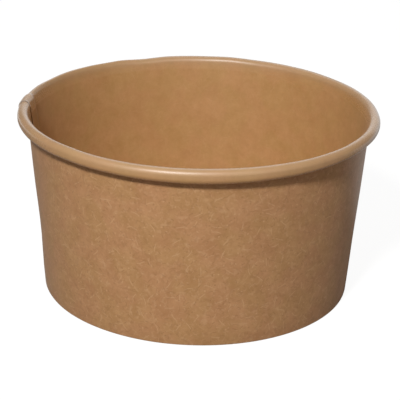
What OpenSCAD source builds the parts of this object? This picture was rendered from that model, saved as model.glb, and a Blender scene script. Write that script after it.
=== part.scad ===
// Paper bowl with a lapped side wall, a rolled rim and a recessed base.
// The origin is at the middle of the foot on the table, and +Z points up.
// Angles round the bowl run anticlockwise from +X, seen from above.
// Two blanks of paperboard make it: the side wall, whose ends overlap in a seam, and the base.
// The wall's upper edge is rolled outwards. Its lower edge is turned in and up as a hem.
// The base's flange is held in the pocket between the wall and the hem.

/* [Bowl] */
// Diameter over the rolled rim
rim_d = 150; // [142:1:180]
// Diameter of the foot on the table
foot_d = 130; // [100:1:138]
// Height over all
bowl_h = 77.2; // [50:0.1:110]
// Thickness of the paperboard
board_t = 0.4; // [0.3:0.05:0.5]

/* [Rolled rim] */
// Width of the roll
roll_w = 4.5; // [3.6:0.1:5.2]
// Height of the roll
roll_h = 5.2; // [4.5:0.1:7]
// Outer radius of the edge that is tucked up inside the roll
tuck_r = 1.4; // [0.8:0.1:1.5]
// Angle that the tucked edge turns through
tuck_turn = 80; // [20:5:110]
// Gap between the roll's underside and the wall
roll_gap = 0.1; // [0.05:0.05:0.3]
// Angle at which the doubled roll of the seam ends, from +X of its section
lap_roll_end = 230; // [200:5:260]

/* [Side seam] */
// Direction of the inner layer's raw edge
seam_az = 178.5; // [90:0.5:270]
// Width of the overlap at the rim
lap_w = 8.5; // [6:0.5:12]
// Width at the rim over which a layer steps across the other's edge
joggle_w = 8; // [4:0.5:12]

/* [Base] */
// Height of the base's underside above the table
base_h = 8; // [5:0.5:14]
// Outer radius of the bend between the base and its flange
bend_r = 1; // [0.8:0.1:2]
// Gap between the flange's lower edge and the fold of the seam below it
flange_gap = 0.8; // [0.2:0.1:2]

/* [Foot] */
// Outer radius of the two folds that the bowl stands on
fold_r = 0.5; // [0.4:0.05:0.6]
// Gap between the hem's upper edge and the underside of the base
hem_gap = 1; // [0.4:0.1:2]
// Thickness of the sealing film on each side of the flange
seal_t = 0.05; // [0.02:0.01:0.1]

/* [Hidden] */
$fn = 96;
kraft = "#b78a5f";
kraft_base = "#b0824f";
// Largest turn between two points of a rounded outline
arc_step = 11.25;
// Steps in which a layer crosses the thickness of the other, each of them less than the film
joggle_steps = ceil(board_t / seal_t);
// Angle by which each sector runs on past its ends, into its neighbours
run_on = 0.05;
rim_r = rim_d / 2;
foot_r = foot_d / 2;
// Pocket between the wall and the hem, which holds the flange and its film
pocket_w = board_t + 2 * seal_t;
hem_z = base_h - hem_gap;
flange_z = 2 * board_t + flange_gap;
// The roll's section is a wide arc on top, a straight outer side and a closer arc below
top_r = roll_w / 2;
low_r = (roll_w - board_t - roll_gap) / 2;
top_c = [rim_r - top_r, bowl_h - top_r];
low_c = [rim_r - low_r, bowl_h - roll_h + low_r];
tuck_c = low_c + [tuck_r - low_r, 0];
// Lean of the wall's outer face, which runs from the foot to the inside of the roll
reach = top_c - [foot_r, 0];
lean = atan2(reach.x, reach.y) - asin((top_r - board_t) / norm(reach));
// Angles round the bowl, to a tenth of a degree
lap_a = tenth(lap_w / rim_r * 180 / PI);
step_a = tenth(joggle_w / rim_r * 180 / PI / joggle_steps);
joggle_a = step_a * joggle_steps;
lap_az = seam_az - lap_a;

function tenth(a) = round(a * 10) / 10;

// The point at height z that lies a given depth inside the wall's outer face
function at(depth, z) = [foot_r + z * tan(lean) - depth / cos(lean), z];

// Points of an arc, both ends included
function arc(c, r, from, to) =
    let (n = ceil(abs(to - from) / arc_step))
    [for (i = [0:n]) let (a = from + (to - from) * i / n) c + r * [cos(a), sin(a)]];

function reversed(points) = [for (i = [len(points) - 1:-1:0]) points[i]];

// Share of a board's thickness that a layer has crossed after step i
function crossed(i) = (i + 1) / (joggle_steps + 1);

// The roll seen from its end to the wall, on a face that stands proud of the single board's outer face
function roll(proud, tucked) = concat(
    tucked ? arc(tuck_c, tuck_r + proud, 180 - tuck_turn, 180 - arc_step) : [],
    arc(low_c, low_r + proud, tucked ? 180 : lap_roll_end, 360),
    arc(top_c, top_r + proud, 0, 180 - lean));

// Section of the side wall. inset and lift place a layer that lies inside another one,
// thick is one board or the seam's two, and pocket is the room between wall and hem.
function wall_section(inset, thick, pocket, lift, tucked) =
    let (
        proud = inset + thick - board_t,
        inner = inset + thick,
        hem = inner + pocket,
        hem_inner = hem + thick,
        fold_z = lift + fold_r)
    concat(
        roll(proud, tucked),
        [at(inner, lift + thick), at(hem, lift + thick), at(hem, hem_z), at(hem_inner, hem_z)],
        arc(at(hem_inner - fold_r, fold_z), fold_r, 180 - lean, 270),
        arc(at(inset + fold_r, fold_z), fold_r, 270, 360 - lean),
        reversed(roll(proud - thick, tucked)));

// Section of the base from its axis: the flat, the bend and the flange
function base_section(inset) =
    let (
        outer = board_t + seal_t + inset,
        bend_c = at(outer + bend_r, base_h + board_t - bend_r))
    concat(
        [[0, base_h + board_t]],
        arc(bend_c, bend_r, 90, -lean),
        [at(outer, flange_z), at(outer + board_t, flange_z)],
        arc(bend_c, bend_r - board_t, -lean, 90),
        [[0, base_h]]);

module sector(points, from, sweep) {
    rotate_extrude(angle = sweep + 2 * run_on, start = from - run_on) polygon(points);
}

module side_wall() {
    color(kraft) {
        // Single board all the way round, apart from the seam and the steps beside it
        sector(wall_section(0, board_t, pocket_w, 0, true), seam_az + joggle_a, 360 - lap_a - 2 * joggle_a);
        // The two layers of the seam
        sector(wall_section(0, 2 * board_t, pocket_w, 0, false), lap_az, lap_a);
        for (i = [0:joggle_steps - 1]) {
            deep = crossed(i) * board_t;
            // The inner layer steps in across the outer layer's edge
            sector(wall_section(deep, board_t, pocket_w, deep, false), lap_az - joggle_a + i * step_a, step_a);
            // The outer layer's hem steps back out, past the inner layer's edge
            sector(wall_section(0, board_t, pocket_w + 2 * deep, 0, true),
                seam_az + joggle_a - (i + 1) * step_a, step_a);
        }
    }
}

module base_disc() {
    color(kraft_base) {
        sector(base_section(0), seam_az + joggle_a, 360 - lap_a - 2 * joggle_a);
        // Over the seam the flange is pressed in by one board
        sector(base_section(board_t), lap_az, lap_a);
        for (i = [0:joggle_steps - 1]) {
            deep = crossed(i) * board_t;
            sector(base_section(deep), lap_az - joggle_a + i * step_a, step_a);
            sector(base_section(deep), seam_az + joggle_a - (i + 1) * step_a, step_a);
        }
    }
}

side_wall();
base_disc();
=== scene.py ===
import math
import bpy
import numpy as np
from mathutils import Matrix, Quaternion, Vector


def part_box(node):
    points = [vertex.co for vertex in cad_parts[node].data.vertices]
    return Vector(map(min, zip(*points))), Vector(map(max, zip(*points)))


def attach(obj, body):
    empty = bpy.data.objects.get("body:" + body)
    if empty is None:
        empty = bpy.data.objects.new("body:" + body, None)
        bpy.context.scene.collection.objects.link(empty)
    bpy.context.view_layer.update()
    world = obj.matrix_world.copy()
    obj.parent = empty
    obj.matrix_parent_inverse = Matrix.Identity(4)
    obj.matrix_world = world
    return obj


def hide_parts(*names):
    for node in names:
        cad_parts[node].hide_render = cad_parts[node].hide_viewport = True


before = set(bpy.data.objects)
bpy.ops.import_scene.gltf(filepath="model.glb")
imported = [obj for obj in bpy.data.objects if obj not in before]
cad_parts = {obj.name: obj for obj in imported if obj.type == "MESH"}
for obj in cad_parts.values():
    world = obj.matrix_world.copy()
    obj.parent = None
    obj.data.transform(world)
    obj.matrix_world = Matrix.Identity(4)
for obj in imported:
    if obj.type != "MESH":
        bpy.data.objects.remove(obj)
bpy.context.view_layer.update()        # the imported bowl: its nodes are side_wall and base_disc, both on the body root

print("frame loaded:", ", ".join(sorted(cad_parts)))

mm = 0.001
scene = bpy.context.scene
scene.view_settings.view_transform = "Standard"

# The camera of the photo, worked out from the bowl's outlines. -Y is the side that it sees.
view = {
    "eye": (0, -580.12 * mm, 275.16 * mm),
    "target": (0.99 * mm, 0, 35.47 * mm),
    "roll": 1.443,           # degrees, clockwise on the picture
    "lens": 132.43,          # millimetres
    "sensor": 36,            # millimetres across
    "clip": (0.01, 20),      # the nearest and the farthest that it sees, in metres
}


def addCamera():
    data = bpy.data.cameras.new("camera")
    data.sensor_width = view["sensor"]
    data.lens = view["lens"]
    data.clip_start, data.clip_end = view["clip"]
    camera = bpy.data.objects.new("camera", data)
    ahead = (Vector(view["target"]) - Vector(view["eye"])).normalized()
    roll = Quaternion((0, 0, 1), math.radians(view["roll"]))
    camera.location = view["eye"]
    camera.rotation_mode = "QUATERNION"
    camera.rotation_quaternion = ahead.to_track_quat("-Z", "Y") @ roll
    scene.collection.objects.link(camera)
    scene.camera = camera


addCamera()
print("camera placed")

# What both pieces share. Directions round the bowl are in degrees, anticlockwise from +X seen from above,
# and lengths are in metres.
wallHigh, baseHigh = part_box("side_wall")[1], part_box("base_disc")[1]
board = 0.4 * mm
rimRadius = wallHigh.x
rimHeight = wallHigh.z - board           # the seam stands one board proud of the roll
baseTop = baseHigh.z

wall = {
    "footRadius": 65 * mm,
    "rollWidth": 4.5 * mm,
    "rollHeight": 5.2 * mm,
    "rollGap": 0.1 * mm,                 # between the roll's underside and the wall
    "tuckRadius": 1.4 * mm,              # the board's edge, tucked up inside the roll
    "tuckEnd": 100,                      # direction of that edge in the section
    "foldRadius": 0.5 * mm,
    "pocket": 0.5 * mm,                  # between the wall and the hem, for the base's flange
    "hemTop": 7 * mm,
    "stationStep": 0.625,                # degrees between two sections, away from the seam
    "seamStep": 0.25,
    "knurlPitch": 2.5,                   # ribs rolled into the hem to press it against the base
    "knurlDepth": 0.1 * mm,
    "knurlReach": (1.2 * mm, 6.2 * mm),  # the heights that they lie between
    "knurlFade": 1 * mm,                 # how far inside those heights they are full
}

# The blank's two ends overlap on the left: the inner layer comes from the back, the outer from the front
seam = {
    "innerEnd": 178.5,                   # raw edge that shows inside and over the rim
    "outerEnd": 172.0,                   # raw edge that shows outside
    "crossing": 6.0,                     # angle over which the outer layer's hem crosses the other's edge
    "kink": 3.0,                         # the same for the inner layer, rolled tight over the edge
    "glue": 0.02 * mm,
    "rollEnd": 235,                      # where the doubled roll stops, in its own section
    "blankMiddle": 355,                  # the direction where the blank's middle lies
}

base = {
    "bendRadius": 1 * mm,
    "flangeEnd": 1.6 * mm,
    "film": 0.05 * mm,                   # on each side of the flange
    "stationStep": 0.75,
    "pillow": 0.15 * mm,                 # the middle rises a little
    "pillowReach": 0.95,                 # share of the flat's radius where that begins
}

# Points along each part of a section
wallCounts = {"rollUnder": 25, "rollTop": 19, "wall": 9, "fold": 6, "hem": 4}
baseCounts = {"flat": 15, "bend": 9, "flange": 4}
rollPoints = wallCounts["rollUnder"] + wallCounts["rollTop"]
hemPoints = wallCounts["hem"] + 1        # with the one on the raw edge

# Unevenness from forming and handling: (direction, half width, amount) of each gentle swell or dent
rimRises = [(111.5, 10, -0.5 * mm), (126, 7, -0.12 * mm), (79.5, 10, 0.18 * mm), (33, 18, -0.2 * mm),
            (222, 24, 0.36 * mm), (143, 16, 0.2 * mm), (163, 10, 0.28 * mm), (285, 110, 0.7 * mm),
            (335, 30, 0.2 * mm)]
rimSwells = [(185, 20, 0.5 * mm), (110.5, 11, -0.25 * mm), (300, 30, 0.12 * mm), (3, 38, -0.31 * mm)]
rollSqueezes = [(345, 50, 0.38), (273, 38, -0.17)]       # how much lower the roll is, as a share
wallHollows = [(180, 26, 0.6 * mm), (350, 30, 0.15 * mm)]
footSwells = [(350, 20, -0.12 * mm), (236, 24, -0.1 * mm), (188, 20, 0.12 * mm)]
hollowHeight, hollowDown, hollowUp = 26 * mm, 19 * mm, 26 * mm       # the hollows' middle and their reach
growth = {"out": 1.6, "up": 2}           # powers of the height with which swells and rises grow to the rim
rollWaves = {"seed": 11, "fewest": 2, "count": 12, "amount": 0.035 * mm}     # fewest in half a turn
# On the left at the back the roll's inner side was pinched outwards, from the inner layer's raw edge on
pinch = {
    "directions": (100, 122, 158, 170, 172.2, 175, 177.5, 179.4),
    "amounts": (0, 0.9 * mm, 1.0 * mm, 1.05 * mm, 0.5 * mm, 0.6 * mm, 0.7 * mm, 0),
    "rollShare": (1.5 * mm, 4.5 * mm),   # distances inside the rim's radius between which it grows
    "wallReach": (9 * mm, 3 * mm),       # heights below the rim between which it grows
}

# The roll's section is a wide arc on top, a straight outer side and a closer arc below
topRadius = wall["rollWidth"] / 2
lowRadius = (wall["rollWidth"] - board - wall["rollGap"]) / 2
topCentre = np.array([rimRadius - topRadius, rimHeight - topRadius])
lowCentre = np.array([rimRadius - lowRadius, rimHeight - wall["rollHeight"] + lowRadius])
tuckCentre = lowCentre + [wall["tuckRadius"] - lowRadius, 0]
reach = topCentre - [wall["footRadius"], 0]
lean = math.atan2(reach[0], reach[1]) - math.asin((topRadius - board) / math.hypot(*reach))
leanDegrees = math.degrees(lean)


def swells(directions, places):
    # Sum of raised cosines, each centred on its own direction and gone past its half width
    total = np.zeros_like(directions)
    for place, halfWidth, amount in places:
        away = np.abs((directions - place + 180) % 360 - 180)
        total += np.where(away < halfWidth, amount * 0.5 * (1 + np.cos(np.pi * away / halfWidth)), 0)
    return total


def smooth(share):
    # Goes from 0 to 1 with level ends: three times the square less twice the cube
    share = np.clip(share, 0, 1)
    return share * share * (3 - 2 * share)


def atDepth(depth, height):
    # The point at that height and a given depth inside the wall's outer face, as radius and height
    depth, height = np.broadcast_arrays(depth, height)
    return np.stack([wall["footRadius"] + height * math.tan(lean) - depth / math.cos(lean), height], -1)


def arcPoints(centre, radius, angles):
    # The centre plus the radius times the cosine and the sine of each angle, for every station
    angles = np.radians(angles)
    circle = np.stack([np.cos(angles), np.sin(angles)], -1)
    return np.asarray(centre) + np.asarray(radius)[..., None] * circle


def between(first, last, count):
    # Points that divide the straight line between two points evenly, without its ends
    share = np.linspace(0, 1, count + 2)[1:-1, None]
    return first[:, None] + (last - first)[:, None] * share


def sweepAngles(first, last, count):
    # Evenly spaced angles for every station, both ends included
    return first[:, None] + (last - first)[:, None] * np.linspace(0, 1, count)


def wallStations():
    # Directions of the wall's sections, from the outer layer's raw edge once round to the inner layer's,
    # close together where the layers overlap and cross
    start, end = seam["outerEnd"], seam["innerEnd"] + 360
    denseStart = seam["innerEnd"] + seam["crossing"]
    denseEnd = start + 360 - seam["crossing"]
    first = np.arange(start, denseStart, wall["seamStep"])
    count = round((denseEnd - denseStart) / wall["stationStep"]) + 1
    middle = np.linspace(denseStart, denseEnd, count)
    last = np.arange(denseEnd + wall["seamStep"], end + wall["seamStep"] / 2, wall["seamStep"])
    return np.concatenate([first, middle, last])


stations = wallStations()
# From 0 to 1: how far the inner layer has crossed the outer one's edge, and the outer one's hem the inner's
crossedIn = smooth((stations - (seam["outerEnd"] + 360 - seam["kink"])) / seam["kink"])
crossedOut = 1 - smooth((stations - seam["innerEnd"]) / seam["crossing"])
layer = board + seam["glue"]
inset = crossedIn * layer
lift = crossedIn * layer
pocket = wall["pocket"] + crossedOut * 2 * layer
doubled = np.maximum(crossedIn, crossedOut)
rollEnd = wall["tuckEnd"] + doubled * (seam["rollEnd"] - wall["tuckEnd"])


def wallFace(behind):
    # One face of the board at every station: the roll from its tucked end, the wall, the foot's two folds
    # and the hem. behind is how far it lies behind the face that shows inside: 0 or one board.
    ones = np.ones_like(stations)
    proud = (inset - behind)[:, None]
    under = sweepAngles(rollEnd, 360 * ones, wallCounts["rollUnder"])
    inTuck = under < 180
    centre = np.where(inTuck[..., None], tuckCentre, lowCentre)
    rollUnder = arcPoints(centre, np.where(inTuck, wall["tuckRadius"], lowRadius) + proud, under)
    over = sweepAngles(0 * ones, (180 - leanDegrees) * ones, wallCounts["rollTop"])
    rollTop = arcPoints(topCentre, topRadius + proud, over)
    foldRadius = wall["foldRadius"] - board + behind
    foldHeight = lift + wall["foldRadius"]
    outerCentre = atDepth(inset + wall["foldRadius"], foldHeight)[:, None]
    outerTurn = sweepAngles(-leanDegrees * ones, -90 * ones, wallCounts["fold"])
    outerFold = arcPoints(outerCentre, foldRadius, outerTurn)
    innerCentre = atDepth(inset + 2 * board + pocket - wall["foldRadius"], foldHeight)[:, None]
    innerTurn = sweepAngles(-90 * ones, (-180 - leanDegrees) * ones, wallCounts["fold"])
    innerFold = arcPoints(innerCentre, foldRadius, innerTurn)
    hemEnd = atDepth(inset + board + pocket + behind, wall["hemTop"] * ones)
    wallPart = between(rollTop[:, -1], outerFold[:, 0], wallCounts["wall"])
    hemPart = between(innerFold[:, -1], hemEnd, wallCounts["hem"])
    return np.concatenate([rollUnder, rollTop, wallPart, outerFold, innerFold, hemPart, hemEnd[:, None]], 1)


def footBent(face, directions):
    # Moves the foot in or out, and both pieces with it: nothing at the axis and from half the height on
    fade = smooth(1 - face[..., 1] / (rimHeight / 2)) * face[..., 0] / wall["footRadius"]
    moved = face.copy()
    moved[..., 0] += swells(directions, footSwells)[:, None] * fade
    return moved


def waving():
    # Two small waves all round the rim, one for out and one for up: cosines of random size and phase
    rng = np.random.default_rng(rollWaves["seed"])
    counts = np.arange(rollWaves["fewest"], rollWaves["fewest"] + rollWaves["count"])
    sizes = rng.normal(0, 1, (2, counts.size)) / np.sqrt(counts)
    phases = rng.uniform(0, 2 * np.pi, (2, counts.size))
    angles = np.radians(stations)[:, None] * counts * 2
    return rollWaves["amount"] * np.sum(sizes[:, None] * np.cos(angles + phases[:, None]), -1)


def pinched(face):
    # How far the pinch moves each point outwards. It passes smoothly from one of its amounts to the next.
    ends, amounts = pinch["directions"], pinch["amounts"]
    pushed = np.zeros_like(stations)
    for i in range(len(ends) - 1):
        passed = smooth((stations % 360 - ends[i]) / (ends[i + 1] - ends[i]))
        pushed += (amounts[i + 1] - amounts[i]) * passed
    outer, inner = pinch["rollShare"]
    low, high = pinch["wallReach"]
    across = smooth((rimRadius - outer - face[..., 0]) / (inner - outer))
    return pushed[:, None] * across * smooth((face[..., 1] - rimHeight + low) / (low - high))


def bent(face):
    # Adds the unevenness: rises and swells grow from nothing at the foot to their whole amount at the rim,
    # hollows fade out above and below their middle, and the roll waves a little all round
    face = face.copy()
    below = np.clip(topCentre[1] - face[:, :rollPoints, 1], 0, None)
    face[:, :rollPoints, 1] += below * swells(stations, rollSqueezes)[:, None]
    share = np.clip(face[..., 1] / rimHeight, 0, 1)
    outWave, upWave = waving()
    out = (swells(stations, rimSwells) + outWave)[:, None] * share ** growth["out"]
    up = (swells(stations, rimRises) + upWave)[:, None] * share ** growth["up"]
    away = face[..., 1] - hollowHeight
    away = np.clip(np.where(away < 0, -away / hollowDown, away / hollowUp), 0, 1)
    out -= swells(stations, wallHollows)[:, None] * 0.5 * (1 + np.cos(np.pi * away))
    out += pinched(face)
    return footBent(face + np.stack([out, up], -1), stations)


def knurled(back):
    # Presses the ribs into the hem's side towards the axis: a cosine along it, fading out at top and bottom
    low, high = wall["knurlReach"]
    height = back[:, -hemPoints:, 1]
    onHem = smooth((height - low) / wall["knurlFade"]) * smooth((high - height) / wall["knurlFade"])
    ribs = 0.5 - 0.5 * np.cos(2 * np.pi * stations / wall["knurlPitch"])
    pressed = back.copy()
    pressed[:, -hemPoints:, 0] += onHem * ribs[:, None] * wall["knurlDepth"]
    return pressed


def turned(face, directions):
    # Radius and height at each station, turned to that station's direction
    angle = np.radians(directions)[:, None]
    return np.stack([face[..., 0] * np.cos(angle), face[..., 0] * np.sin(angle), face[..., 1]], -1)


def lengthsAlong(line):
    # Distance along a line of points from its first one to each
    return np.concatenate([[0], np.cumsum(np.linalg.norm(np.diff(line, axis=0), axis=1))])


def blankPlan(section, directions):
    # Where each point lay on the flat blank, in metres. A cone unrolls to a fan about its apex: distances
    # from the apex run on along the section, and the fan's angle is the direction times the lean's sine.
    along = lengthsAlong(section)
    fromApex = wall["footRadius"] / math.sin(lean) + along[-1] - along
    angle = np.radians(directions - seam["blankMiddle"])[:, None] * math.sin(lean)
    return np.stack([fromApex * np.sin(angle), fromApex * np.cos(angle) - fromApex[-1]], -1)


def gridFaces(start, rows, columns, wrap=False):
    # Four corners of each square of a grid of points, counted from start. With wrap the last row meets the
    # first.
    row, column = np.meshgrid(np.arange(rows if wrap else rows - 1), np.arange(columns - 1), indexing="ij")
    row, column = row.ravel(), column.ravel()
    after = (row + 1) % rows
    return start + np.stack([row * columns + column, after * columns + column,
                             after * columns + column + 1, row * columns + column + 1], 1)


def stripFaces(first, second, wrap=False):
    # Squares between two lines of points of the same length
    nextFirst, nextSecond = np.roll(first, -1), np.roll(second, -1)
    squares = np.stack([first, second, nextSecond, nextFirst], 1)
    return squares if wrap else squares[:-1]


def addMesh(name, points, plan, parts, border):
    # A mesh of two faces of board, from whole arrays. plan is the UV of each point and parts holds each
    # part's squares with their material's slot. border is 1 where a point of a face lies on the board's
    # raw edge, and the edges between two such points of one face stay crisp.
    squares = np.concatenate([part for part, slot in parts])
    slots = np.concatenate([np.full(len(part), slot) for part, slot in parts])
    mesh = bpy.data.meshes.new(name)
    mesh.vertices.add(len(points))
    mesh.vertices.foreach_set("co", points.astype(np.float32).ravel())
    mesh.loops.add(squares.size)
    mesh.loops.foreach_set("vertex_index", squares.astype(np.int32).ravel())
    mesh.polygons.add(len(squares))
    mesh.polygons.foreach_set("loop_start", np.arange(0, squares.size, squares.shape[1], dtype=np.int32))
    mesh.polygons.foreach_set("material_index", slots.astype(np.int32))
    mesh.update(calc_edges=True)
    mesh.polygons.foreach_set("use_smooth", np.ones(len(squares), bool))
    sharp = np.zeros(len(points), int)
    sharp[:2 * border.size] = np.concatenate([border.ravel(), 2 * border.ravel()])
    ends = np.zeros(len(mesh.edges) * 2, np.int32)
    mesh.edges.foreach_get("vertices", ends)
    ends = sharp[ends.reshape(-1, 2)]
    crisp = mesh.attributes.new("sharp_edge", "BOOLEAN", "EDGE")
    crisp.data.foreach_set("value", (ends[:, 0] == ends[:, 1]) & (ends[:, 0] > 0))
    uv = mesh.uv_layers.new(name="plan")
    uv.uv.foreach_set("vector", plan[squares.ravel()].astype(np.float32).ravel())
    mesh.validate()
    piece = bpy.data.objects.new(name, mesh)
    scene.collection.objects.link(piece)
    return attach(piece, "root")


def buildWall():
    skinFace, backFace = bent(wallFace(0)), bent(knurled(wallFace(board)))
    rows, columns = skinFace.shape[:2]
    skin = np.arange(rows * columns).reshape(rows, columns)
    back = skin + rows * columns
    plan = blankPlan(skinFace[rows // 2], stations).reshape(-1, 2)
    parts = [
        (gridFaces(0, rows, columns), 0),
        (gridFaces(rows * columns, rows, columns)[:, ::-1], 1),
        (stripFaces(skin[:, 0], back[:, 0]), 2),
        (stripFaces(back[:, -1], skin[:, -1]), 2),
        (stripFaces(back[0], skin[0]), 2),
        (stripFaces(skin[-1], back[-1]), 2),
    ]
    border = np.zeros((rows, columns), int)
    border[[0, -1]] = 1
    border[:, [0, -1]] = 1
    points = np.concatenate([turned(face, stations).reshape(-1, 3) for face in (skinFace, backFace)])
    return addMesh("sideWall", points, np.concatenate([plan, plan]), parts, border)


sideWall = buildWall()
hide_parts("side_wall")
print("side wall made:", len(sideWall.data.polygons), "faces")


def baseFace(behind, directions):
    # One face of the base at every station: the flat from its middle, the bend and the flange. Over the
    # seam the flange is pressed in by one layer. behind is 0 for the top and one board for the underside.
    ones = np.ones_like(directions)
    shut = smooth((directions - (seam["outerEnd"] - seam["kink"])) / seam["kink"])
    opened = smooth((directions - seam["innerEnd"]) / seam["crossing"])
    outer = board + base["film"] + (shut - opened) * layer
    bendCentre = atDepth(outer + base["bendRadius"], (baseTop - base["bendRadius"]) * ones)[:, None]
    bendTurn = sweepAngles(90 * ones, -leanDegrees * ones, baseCounts["bend"])
    bend = arcPoints(bendCentre, base["bendRadius"] - behind, bendTurn)
    end = atDepth(outer + behind, base["flangeEnd"] * ones)
    middle = np.stack([0 * ones, (baseTop - behind) * ones], -1)
    flat = between(middle, bend[:, 0], baseCounts["flat"])
    flat[..., 1] += base["pillow"] * smooth(1 - flat[..., 0] / (base["pillowReach"] * flat[:, -1:, 0]))
    flange = between(bend[:, -1], end, baseCounts["flange"])
    return footBent(np.concatenate([flat, bend, flange, end[:, None]], 1), directions)


def buildBase():
    directions = np.arange(0, 360, base["stationStep"])
    topFace, underFace = baseFace(0, directions), baseFace(board, directions)
    rows, columns = topFace.shape[:2]
    top = np.arange(rows * columns).reshape(rows, columns)
    under = top + rows * columns
    along = lengthsAlong(topFace[0]) + topFace[0, 0, 0]
    angle = np.radians(directions)[:, None]
    plan = np.stack([along * np.cos(angle), along * np.sin(angle)], -1).reshape(-1, 2)
    # Two neighbouring sectors of the middle share one square with the pole, so it holds no triangle
    sectors = np.arange(0, rows, 2)
    hubs = []
    for number, ring in enumerate((top[:, 0], under[:, 0])):
        pole = np.full(len(sectors), 2 * rows * columns + number)
        hubs.append(np.stack([ring[sectors], ring[sectors + 1], ring[(sectors + 2) % rows], pole], 1))
    parts = [
        (gridFaces(0, rows, columns, wrap=True)[:, ::-1], 0),
        (gridFaces(rows * columns, rows, columns, wrap=True), 1),
        (stripFaces(top[:, -1], under[:, -1], wrap=True), 2),
        (hubs[0], 0),
        (hubs[1][:, ::-1], 1),
    ]
    border = np.zeros((rows, columns), int)
    border[:, -1] = 1
    poles = np.array([[0, 0, baseTop + base["pillow"] - behind] for behind in (0, board)])
    points = [turned(face, directions).reshape(-1, 3) for face in (topFace, underFace)] + [poles]
    plan = np.concatenate([plan, plan, np.zeros((2, 2))])
    return addMesh("baseDisc", np.concatenate(points), plan, parts, border)


baseDisc = buildBase()
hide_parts("base_disc")
print("base made:", len(baseDisc.data.polygons), "faces")


def addNode(tree, kind, inputs=None, **settings):
    # A node with its settings. Each input is given a value, or the socket that feeds it.
    node = tree.nodes.new(kind)
    for name, value in settings.items():
        setattr(node, name, value)
    for name, value in (inputs or {}).items():
        if isinstance(value, bpy.types.NodeSocket):
            tree.links.new(value, node.inputs[name])
        else:
            node.inputs[name].default_value = value
    return node


def maths(tree, operation, first, second=0.0, third=0.0):
    return addNode(tree, "ShaderNodeMath", {0: first, 1: second, 2: third}, operation=operation).outputs[0]


def addVectors(tree, first, second):
    return addNode(tree, "ShaderNodeVectorMath", {0: first, 1: second}, operation="ADD").outputs[0]


def scaleVector(tree, vector, factor):
    return addNode(tree, "ShaderNodeVectorMath", {0: vector, "Scale": factor}, operation="SCALE").outputs[0]


def ramp(tree, value, low, high, toLow=0.0, toHigh=1.0):
    # Smooth step of a value between two limits
    inputs = {"Value": value, "From Min": low, "From Max": high, "To Min": toLow, "To Max": toHigh}
    return addNode(tree, "ShaderNodeMapRange", inputs, interpolation_type="SMOOTHSTEP").outputs["Result"]


def mixColours(tree, share, first, second):
    # A colour mix node's factor and colours are its inputs 0, 6 and 7, and its colour is output 2
    inputs = {0: share, 6: first, 7: second}
    return addNode(tree, "ShaderNodeMix", inputs, data_type="RGBA").outputs[2]


def noise(tree, place, settings, dimensions="2D"):
    # Values round 0.5. The settings' Scale is in features a metre.
    inputs = {"Vector": place, **settings}
    return addNode(tree, "ShaderNodeTexNoise", inputs, noise_dimensions=dimensions).outputs[0]


def newGroup(name, inputs, outputs):
    tree = bpy.data.node_groups.new(name, "ShaderNodeTree")
    for label, kind in inputs:
        tree.interface.new_socket(label, in_out="INPUT", socket_type="NodeSocket" + kind)
    for label, kind in outputs:
        tree.interface.new_socket(label, in_out="OUTPUT", socket_type="NodeSocket" + kind)
    return tree, tree.nodes.new("NodeGroupInput").outputs, tree.nodes.new("NodeGroupOutput").inputs


# Stray fibres, two sorts of each colour: how far apart, how long and wide, and the share of places with one
strays = {
    "pale": (
        {"Spacing": 6.5 * mm, "Length": 4.5 * mm, "Width": 0.5 * mm, "Share": 0.8, "Shift": (0.31, 0.17, 0)},
        {"Spacing": 5.7 * mm, "Length": 0.9 * mm, "Width": 0.8 * mm, "Share": 0.6, "Shift": (0.72, 0.43, 0)},
    ),
    "dark": (
        {"Spacing": 3.9 * mm, "Length": 1.8 * mm, "Width": 0.5 * mm, "Share": 0.6, "Shift": (0.55, 0.91, 0)},
        {"Spacing": 6.3 * mm, "Length": 0.9 * mm, "Width": 0.8 * mm, "Share": 0.6, "Shift": (0.13, 0.66, 0)},
    ),
}
fibreSide = (0.5, 0.15)                  # shares of the width, from the middle, where one ends and is full
fibreEnd = (0.5, 0.3)                    # the same along its length


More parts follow.
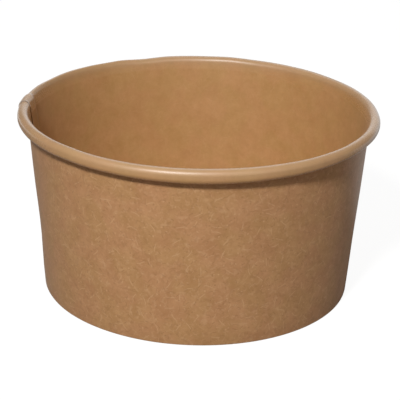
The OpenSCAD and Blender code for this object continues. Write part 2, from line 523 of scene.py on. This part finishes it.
def fibreGroup():
    # Each Voronoi cell holds one stray fibre at its centre: the place is turned by a random angle about the
    # centre and bowed a little, and the fibre is where it lies within the length and width
    tree, given, made = newGroup("strayFibres", [("Plan", "Vector"), ("Spacing", "Float"),
                                                 ("Length", "Float"), ("Width", "Float"),
                                                 ("Share", "Float"), ("Shift", "Vector")],
                                 [("Mask", "Float")])
    perMetre = maths(tree, "DIVIDE", 1.0, given["Spacing"])
    cells = scaleVector(tree, addVectors(tree, given["Plan"], given["Shift"]), perMetre)
    voronoi = addNode(tree, "ShaderNodeTexVoronoi", {"Vector": cells, "Scale": 1.0}, voronoi_dimensions="2D")
    local = addNode(tree, "ShaderNodeVectorMath", {0: cells, 1: voronoi.outputs["Position"]},
                    operation="SUBTRACT").outputs[0]
    local = scaleVector(tree, local, given["Spacing"])
    chance = addNode(tree, "ShaderNodeSeparateColor", {0: voronoi.outputs["Color"]}).outputs
    angle = maths(tree, "MULTIPLY", chance[0], math.pi)
    along = addNode(tree, "ShaderNodeVectorRotate", {"Vector": local, "Angle": angle},
                    rotation_type="Z_AXIS").outputs[0]
    place = addNode(tree, "ShaderNodeSeparateXYZ", {0: along}).outputs
    bow = maths(tree, "DIVIDE", maths(tree, "SUBTRACT", chance[2], 0.5), given["Length"])
    across = maths(tree, "MULTIPLY_ADD", maths(tree, "MULTIPLY", place[0], place[0]), bow, place[1])
    across = maths(tree, "DIVIDE", maths(tree, "ABSOLUTE", across), given["Width"])
    endwise = maths(tree, "DIVIDE", maths(tree, "ABSOLUTE", place[0]), given["Length"])
    body = maths(tree, "MULTIPLY", ramp(tree, across, *fibreSide), ramp(tree, endwise, *fibreEnd))
    there = maths(tree, "LESS_THAN", chance[1], given["Share"])
    tree.links.new(maths(tree, "MULTIPLY", body, there), made["Mask"])
    return tree


strayFibres = fibreGroup()

# Long tangled fibres, behind the stray ones
tangle = {
    "pale": {"perMetre": 330.0, "width": 0.08, "shift": (0.23, 0.57, 0)},
    "dark": {"perMetre": 280.0, "width": 0.07, "shift": (0.81, 0.37, 0)},
    "winding": {"Detail": 1.0, "Roughness": 0.5, "Distortion": 0.6},
    "breakScale": 1.6,                   # how much finer the noise is that breaks them up
    "breaks": (0.44, 0.56),              # its values between which a fibre comes out
    "share": 0.55,                       # how much of a stray fibre's colour they have
}


def tangled(tree, plan, sort):
    # The lines where a smooth noise passes its middle, broken up by a second noise
    moved = addVectors(tree, plan, sort["shift"])
    winding = noise(tree, moved, {"Scale": sort["perMetre"], **tangle["winding"]})
    away = maths(tree, "ABSOLUTE", maths(tree, "SUBTRACT", winding, 0.5))
    breaks = noise(tree, moved, {"Scale": tangle["breakScale"] * sort["perMetre"], "Detail": 1.0})
    lines = ramp(tree, away, sort["width"], 0.0)
    lines = maths(tree, "MULTIPLY", lines, ramp(tree, breaks, *tangle["breaks"]))
    return maths(tree, "MULTIPLY", lines, tangle["share"])


def fibres(tree, plan, colour):
    # Both sorts of stray fibres of that colour, and its tangled ones
    mask = tangled(tree, plan, tangle[colour])
    for sort in strays[colour]:
        stray = addNode(tree, "ShaderNodeGroup", {"Plan": plan, **sort}, node_tree=strayFibres)
        mask = maths(tree, "MAXIMUM", mask, stray.outputs["Mask"])
    return mask


kraft = {
    "paleFibre": (0.640, 0.400, 0.225, 1),
    "darkFibre": (0.330, 0.165, 0.070, 1),
    "paler": (0.47, 0.32, 0.20),         # what the palest pulp would have more than the board's own colour
    "clouds": {"Scale": 120.0, "Detail": 3.0, "Roughness": 0.8},
    "tints": {"Scale": 85.0, "Detail": 2.0, "Roughness": 0.5},
    "grain": {"Scale": 1500.0, "Detail": 2.0, "Roughness": 0.6},
    "redder": (0.35, 0.65),              # values of the tints between which the board turns redder
    "cloudRelief": 6e-6,                 # heights in metres
    "grainRelief": 4e-6,
    "fibreRelief": 8e-6,
    "grainGloss": 0.25,
    "sheen": 0.05,                       # of the loose ends of fibres, dusty where seen along the board
    "sheenRoughness": 0.4,
}


def kraftGroup():
    # Unbleached board: clouds where the pulp lies thicker or redder, a fine grain, and pale and dark fibres.
    # Height is in metres, and Gloss is what the roughness gains or loses.
    tree, given, made = newGroup("kraftBoard", [("Plan", "Vector"), ("Board", "Color"), ("Red", "Color"),
                                                ("Pale Fibre", "Color"), ("Dark Fibre", "Color"),
                                                ("Cloud", "Float"), ("Grain", "Float"), ("Fibre", "Float")],
                                 [("Color", "Color"), ("Height", "Float"), ("Gloss", "Float")])
    plan = given["Plan"]
    wide, tint, fine = [noise(tree, plan, kraft[name]) for name in ("clouds", "tints", "grain")]
    cloud = maths(tree, "MULTIPLY", maths(tree, "SUBTRACT", wide, 0.5), given["Cloud"])
    grain = maths(tree, "MULTIPLY", maths(tree, "SUBTRACT", fine, 0.5), given["Grain"])
    colour = mixColours(tree, ramp(tree, tint, *kraft["redder"]), given["Board"], given["Red"])
    colour = addVectors(tree, colour, scaleVector(tree, kraft["paler"], maths(tree, "ADD", cloud, grain)))
    pale, dark = fibres(tree, plan, "pale"), fibres(tree, plan, "dark")
    colour = mixColours(tree, maths(tree, "MULTIPLY", pale, given["Fibre"]), colour, given["Pale Fibre"])
    colour = mixColours(tree, maths(tree, "MULTIPLY", dark, given["Fibre"]), colour, given["Dark Fibre"])
    relief = maths(tree, "MULTIPLY", wide, kraft["cloudRelief"])
    relief = maths(tree, "MULTIPLY_ADD", fine, kraft["grainRelief"], relief)
    relief = maths(tree, "MULTIPLY_ADD", pale, kraft["fibreRelief"], relief)
    gloss = maths(tree, "MULTIPLY", maths(tree, "SUBTRACT", fine, 0.5), kraft["grainGloss"])
    for label, value in (("Color", colour), ("Height", relief), ("Gloss", gloss)):
        tree.links.new(value, made[label])
    return tree


kraftBoard = kraftGroup()

# What differs between the board's two faces
faces = {
    "inside": {"board": (0.470, 0.262, 0.100, 1), "red": (0.482, 0.258, 0.104, 1),
               "cloud": 0.30, "grain": 0.03, "fibre": 0.12, "roughness": 0.5, "relief": 0.6},
    "outside": {"board": (0.470, 0.260, 0.113, 1), "red": (0.484, 0.256, 0.120, 1),
                "cloud": 0.40, "grain": 0.10, "fibre": 0.55, "roughness": 0.38, "relief": 1.0},
}


def rollGroup():
    # 1 on the roll and 0 below it, from the height of the place
    tree, given, made = newGroup("onRoll", [("Place", "Vector"), ("Top", "Float"), ("Reach", "Float"),
                                            ("Fade", "Float")], [("Mask", "Float")])
    height = addNode(tree, "ShaderNodeSeparateXYZ", {0: given["Place"]}).outputs[2]
    low = maths(tree, "SUBTRACT", given["Top"], maths(tree, "ADD", given["Reach"], given["Fade"]))
    tree.links.new(ramp(tree, height, low, maths(tree, "ADD", low, given["Fade"])), made["Mask"])
    return tree


onRoll = rollGroup()


def rollMask(tree, reach, fade):
    # reach is from the top of the roll down
    place = addNode(tree, "ShaderNodeTexCoord").outputs["Object"]
    inputs = {"Place": place, "Top": rimHeight, "Reach": reach, "Fade": fade}
    return addNode(tree, "ShaderNodeGroup", inputs, node_tree=onRoll).outputs["Mask"]


# Rolling the rim polished its film. The roll's top is also turned to a paler, greyer colour there: a painted sheen.
burnish = {
    "reach": 4.5 * mm,
    "fade": 1.5 * mm,
    "coat": 0.85,
    "coatRoughness": 0.4,
    "slantBlend": 0.5,                   # slants are even from 0, seen face on, to 1, seen edge on
    "slant": (0.1, 0.6),                 # the board's gloss grows between these two
    "slantGloss": 0.24,                  # what its roughness loses there
    "paintedSheenColour": (0.44, 0.28, 0.155, 1),                 # paler and greyer than the board: painted sheen
    "paintedSheen": 0.45,                     # how far the board turns to that painted sheen colour on the roll's top
    "paintedSheenReach": 1.2 * mm,
    "paintedSheenFade": 3.2 * mm,
}


def newMaterial(name):
    material = bpy.data.materials.new(name)
    material.use_nodes = True
    material.node_tree.nodes.clear()
    return material, material.node_tree


def kraftMaterial(name, face):
    material, tree = newMaterial(name)
    pulp = addNode(tree, "ShaderNodeGroup", {
        "Plan": addNode(tree, "ShaderNodeUVMap", uv_map="plan").outputs[0],
        "Board": face["board"], "Red": face["red"], "Pale Fibre": kraft["paleFibre"],
        "Dark Fibre": kraft["darkFibre"], "Cloud": face["cloud"], "Grain": face["grain"],
        "Fibre": face["fibre"]}, node_tree=kraftBoard).outputs
    # The height is in metres, so the bump's distance is 1
    bump = addNode(tree, "ShaderNodeBump", {"Height": pulp["Height"], "Distance": 1.0,
                                            "Strength": face["relief"]})
    onRim = rollMask(tree, burnish["reach"], burnish["fade"])
    coat = maths(tree, "MULTIPLY", onRim, burnish["coat"])
    slant = addNode(tree, "ShaderNodeLayerWeight", {"Blend": burnish["slantBlend"]}).outputs["Facing"]
    gloss = maths(tree, "MULTIPLY", onRim, ramp(tree, slant, *burnish["slant"], 0.0, burnish["slantGloss"]))
    roughness = maths(tree, "SUBTRACT", maths(tree, "ADD", pulp["Gloss"], face["roughness"]), gloss)
    # The roll's top is mixed towards a paler, greyer colour: a painted sheen, not a change in the board
    paintedSheen = rollMask(tree, burnish["paintedSheenReach"], burnish["paintedSheenFade"])
    paintedSheen = maths(tree, "MULTIPLY", paintedSheen, burnish["paintedSheen"])
    colour = mixColours(tree, paintedSheen, pulp["Color"], burnish["paintedSheenColour"])
    shader = addNode(tree, "ShaderNodeBsdfPrincipled", {
        "Base Color": colour, "Roughness": roughness, "Normal": bump.outputs[0],
        "Coat Weight": coat, "Coat Roughness": burnish["coatRoughness"],
        "Sheen Weight": kraft["sheen"], "Sheen Roughness": kraft["sheenRoughness"]})
    addNode(tree, "ShaderNodeOutputMaterial", {"Surface": shader.outputs[0]})
    return material


# The board's cut edge is plies of pulp with nothing over them, grey on the roll and browner where glue wets
# them. Each has its darkest and its palest colour.
rawEdge = {
    "dry": ((0.22, 0.17, 0.14, 1), (0.40, 0.33, 0.28, 1)),
    "glued": ((0.24, 0.13, 0.06, 1), (0.40, 0.22, 0.10, 1)),
    "dryReach": 1.6 * mm,
    "dryFade": 0.8 * mm,
    "pulp": {"Scale": 2500.0, "Detail": 2.0},
    "relief": 0.03 * mm,
    "roughness": 0.85,
}


def cutEdgeMaterial():
    material, tree = newMaterial("cutEdge")
    place = addNode(tree, "ShaderNodeTexCoord").outputs["Object"]
    pulp = noise(tree, place, rawEdge["pulp"], "3D")
    glued, dry = [mixColours(tree, pulp, *rawEdge[state]) for state in ("glued", "dry")]
    colour = mixColours(tree, rollMask(tree, rawEdge["dryReach"], rawEdge["dryFade"]), glued, dry)
    bump = addNode(tree, "ShaderNodeBump", {"Height": pulp, "Distance": rawEdge["relief"]})
    shader = addNode(tree, "ShaderNodeBsdfPrincipled", {
        "Base Color": colour, "Roughness": rawEdge["roughness"], "Normal": bump.outputs[0]})
    addNode(tree, "ShaderNodeOutputMaterial", {"Surface": shader.outputs[0]})
    return material


insideKraft = kraftMaterial("kraftInside", faces["inside"])
outsideKraft = kraftMaterial("kraftOutside", faces["outside"])
cutEdge = cutEdgeMaterial()
for piece in (sideWall, baseDisc):
    for material in (insideKraft, outsideKraft, cutEdge):
        piece.data.materials.append(material)
print("materials made")

# The studio. Each white part of the room that shows in gloss has the angles from its middle where it ends
# and where it is full, and its strength.
white = (1, 1, 1, 1)
studio = {
    "worldLight": 0.19,
    "worldTint": (1.06, 0.96, 0.86, 1),  # of the light on rough surfaces only
    "roomInGloss": 0.2,                  # what the bowl's gloss shows of the room, beside the white parts
    "backdrop": {"angles": (38, 20), "strength": 1.0},
    "backdropDirection": 78,
    "wallInFront": {"angles": (70, 45), "strength": 1.0},
    "ceiling": {"angles": (60, 35), "strength": 0.4},
    "floorSize": 8.0,
    "floorColour": (0.25, 0.205, 0.17, 1),
    "floorInGloss": 0.05,                # how much of the floor shows in gloss in front and on the left
    "floorWhiteInGloss": 0.45,           # the same behind on the right
    "floorWhiteBack": (0.02, 0.1),       # distances along Y and along X between which that begins
    "floorWhiteRight": (-0.05, 0.05),
    "floorWhiteBehind": (0.22, 0.30),    # the same for the floor well behind the bowl, on both sides
    "floorBehindInGloss": 0.9,
    "floorGlow": 0.93,                   # what the camera sees of it, with a light shadow on it
    "floorShade": (0.13, 0.13, 0.13, 1),
}
# Round softboxes: the direction and the height of the way to each, in degrees, and its distance and size
lamps = {
    "key": {"direction": 252, "height": 41, "distance": 1.2, "size": 0.16, "power": 12.2},
    "fill": {"direction": 310, "height": 30, "distance": 1.2, "size": 0.8, "power": 0.65},
    "rim": {"direction": 90, "height": 50, "distance": 1.2, "size": 0.7, "power": 1.6},
}


def seenRay(tree, inGloss):
    # 1 for rays that show the studio itself, from the camera or through something clear, and inGloss for
    # reflections
    path = addNode(tree, "ShaderNodeLightPath").outputs
    reflected = maths(tree, "MULTIPLY", path["Is Glossy Ray"], inGloss)
    seen = maths(tree, "MAXIMUM", path["Is Camera Ray"], reflected)
    return maths(tree, "MAXIMUM", seen, path["Is Transmission Ray"])


def addWorld():
    world = bpy.data.worlds.new("studio")
    world.use_nodes = True
    tree = world.node_tree
    tree.nodes.clear()
    way = addNode(tree, "ShaderNodeTexCoord").outputs["Generated"]
    middle = math.radians(studio["backdropDirection"])
    behind = addNode(tree, "ShaderNodeVectorMath", {0: way, 1: (math.cos(middle), math.sin(middle), 0)},
                     operation="DOT_PRODUCT").outputs["Value"]
    along = addNode(tree, "ShaderNodeSeparateXYZ", {0: way}).outputs
    front = maths(tree, "MULTIPLY", along[1], -1.0)
    inGloss = studio["roomInGloss"]
    for name, side in (("backdrop", behind), ("wallInFront", front), ("ceiling", along[2])):
        part = studio[name]
        limits = [math.cos(math.radians(angle)) for angle in part["angles"]]
        inGloss = maths(tree, "MAXIMUM", inGloss, ramp(tree, side, *limits, 0.0, part["strength"]))
    path = addNode(tree, "ShaderNodeLightPath").outputs
    reflected = maths(tree, "MULTIPLY", path["Is Glossy Ray"], inGloss)
    strength = maths(tree, "MAXIMUM", reflected, studio["worldLight"])
    strength = maths(tree, "MAXIMUM", strength, seenRay(tree, 0.0))
    colour = mixColours(tree, path["Is Diffuse Ray"], white, studio["worldTint"])
    sky = addNode(tree, "ShaderNodeBackground", {"Color": colour, "Strength": strength})
    addNode(tree, "ShaderNodeOutputWorld", {"Surface": sky.outputs[0]})
    world.cycles.sampling_method = "NONE"
    scene.world = world


def addFloor():
    half = studio["floorSize"] / 2
    corners = [(-half, -half, 0), (half, -half, 0), (half, half, 0), (-half, half, 0)]
    mesh = bpy.data.meshes.new("floor")
    mesh.from_pydata(corners, [], [(0, 1, 2, 3)])
    material, tree = newMaterial("floor")
    plain = addNode(tree, "ShaderNodeBsdfDiffuse", {"Color": studio["floorColour"]})
    glow = addNode(tree, "ShaderNodeEmission", {"Color": white, "Strength": studio["floorGlow"]})
    shade = addNode(tree, "ShaderNodeBsdfDiffuse", {"Color": studio["floorShade"]})
    bright = addNode(tree, "ShaderNodeAddShader", {0: glow.outputs[0], 1: shade.outputs[0]})
    place = addNode(tree, "ShaderNodeTexCoord").outputs["Object"]
    place = addNode(tree, "ShaderNodeSeparateXYZ", {0: place}).outputs
    backRight = maths(tree, "MULTIPLY", ramp(tree, place[1], *studio["floorWhiteBack"]),
                      ramp(tree, place[0], *studio["floorWhiteRight"]))
    inGloss = ramp(tree, backRight, 0.0, 1.0, studio["floorInGloss"], studio["floorWhiteInGloss"])
    behind = ramp(tree, place[1], *studio["floorWhiteBehind"], 0.0, studio["floorBehindInGloss"])
    inGloss = maths(tree, "MAXIMUM", inGloss, behind)
    mixed = addNode(tree, "ShaderNodeMixShader", {0: seenRay(tree, inGloss), 1: plain.outputs[0],
                                                  2: bright.outputs[0]})
    addNode(tree, "ShaderNodeOutputMaterial", {"Surface": mixed.outputs[0]})
    mesh.materials.append(material)
    floor = bpy.data.objects.new("floor", mesh)
    scene.collection.objects.link(floor)


def addLamp(name, lamp):
    # It faces the middle of the bowl
    data = bpy.data.lights.new(name, "AREA")
    data.shape = "DISK"
    data.size = lamp["size"]
    data.energy = lamp["power"]
    turn, rise = math.radians(lamp["direction"]), math.radians(lamp["height"])
    away = Vector((math.cos(turn) * math.cos(rise), math.sin(turn) * math.cos(rise), math.sin(rise)))
    light = bpy.data.objects.new(name, data)
    light.location = Vector((0, 0, rimHeight / 2)) + away * lamp["distance"]
    light.rotation_mode = "QUATERNION"
    light.rotation_quaternion = (-away).to_track_quat("-Z", "Y")
    scene.collection.objects.link(light)


addWorld()
addFloor()
for name, lamp in lamps.items():
    addLamp(name, lamp)
print("studio lit")
